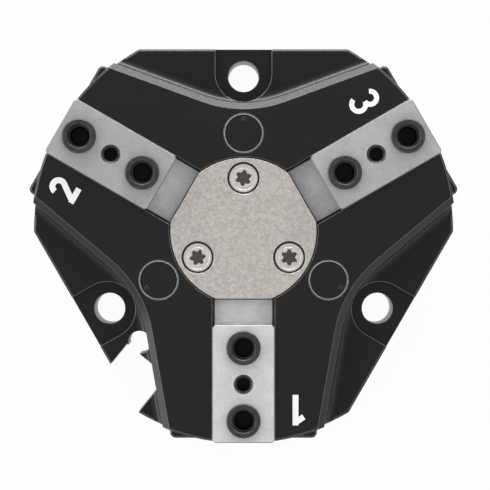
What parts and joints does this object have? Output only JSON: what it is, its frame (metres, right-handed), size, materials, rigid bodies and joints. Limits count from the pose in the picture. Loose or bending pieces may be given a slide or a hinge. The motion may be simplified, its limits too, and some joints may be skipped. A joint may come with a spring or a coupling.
{
  "type": "three jaw centric gripper",
  "caption": "Pneumatic centric gripper: a piston drops a wedge hook that draws three base jaws inwards together along T guides in a contoured housing.",
  "frame": {"origin": "centre of the back mounting face, on the axis", "axes": "+Z along the axis towards the jaws, jaw 1 along -Y, jaw 2 at 150 degrees and jaw 3 at 30 degrees from +X"},
  "size_m": [0.155, 0.1396, 0.0845],
  "materials": {
    "black_anodised": "hard anodised black, fine satin",
    "black_anodised_back": "hard anodised black, satin",
    "seal_rubber": "moulded nitrile",
    "bumper_rubber": "moulded polyurethane, dark",
    "black_screw": "black oxide",
    "black_cap": "smooth black cap, satin",
    "brushed_plate": "nickel-plated, fine diagonal brushing",
    "zinc_screw": "bright zinc plated",
    "piston_aluminium": "turned, clear anodised",
    "magnet": "bonded magnet",
    "hardened_steel": "ground and hardened",
    "ground_jaw": "ground, fine grain",
    "black_sleeve": "black oxide, turned"
  },
  "bodies": {
    "housing": {"housing": "black_anodised", "guide_blocks": "black_anodised", "base_cover": "black_anodised_back", "base_cover_seal": "seal_rubber", "base_cover_screws": "black_screw", "tie_screws": "black_screw", "tie_screw_caps": "black_cap", "front_plate": "brushed_plate", "front_plate_screws": "zinc_screw", "rod_seal": "seal_rubber", "upper_bumper": "bumper_rubber", "lower_bumper": "bumper_rubber"},
    "piston": {"piston": "piston_aluminium", "piston_seal": "seal_rubber", "piston_magnet": "magnet", "wedge_hook": "hardened_steel", "hook_screw": "black_screw", "hook_pin": "hardened_steel"},
    "jaw_1": {"jaw_1": "ground_jaw", "jaw_1_sleeves": "black_sleeve"},
    "jaw_2": {"jaw_2": "ground_jaw", "jaw_2_sleeves": "black_sleeve"},
    "jaw_3": {"jaw_3": "ground_jaw", "jaw_3_sleeves": "black_sleeve"}
  },
  "joints": [
    {"name": "piston_slide", "type": "slide", "parent": "housing", "child": "piston", "axis": [0, 0, -1], "range_m": [0, 0.012]},
    {"name": "jaw_1_slide", "type": "slide", "parent": "housing", "child": "jaw_1", "axis": [0, 1, 0], "range_m": [0, 0.008]},
    {"name": "jaw_2_slide", "type": "slide", "parent": "housing", "child": "jaw_2", "axis": [0.866, -0.5, 0], "range_m": [0, 0.008]},
    {"name": "jaw_3_slide", "type": "slide", "parent": "housing", "child": "jaw_3", "axis": [-0.866, -0.5, 0], "range_m": [0, 0.008]}
  ],
  "couplings": [
    {"joint": "jaw_1_slide", "follows": "piston_slide", "ratio": 0.66666},
    {"joint": "jaw_2_slide", "follows": "piston_slide", "ratio": 0.66666},
    {"joint": "jaw_3_slide", "follows": "piston_slide", "ratio": 0.66666}
  ]
}
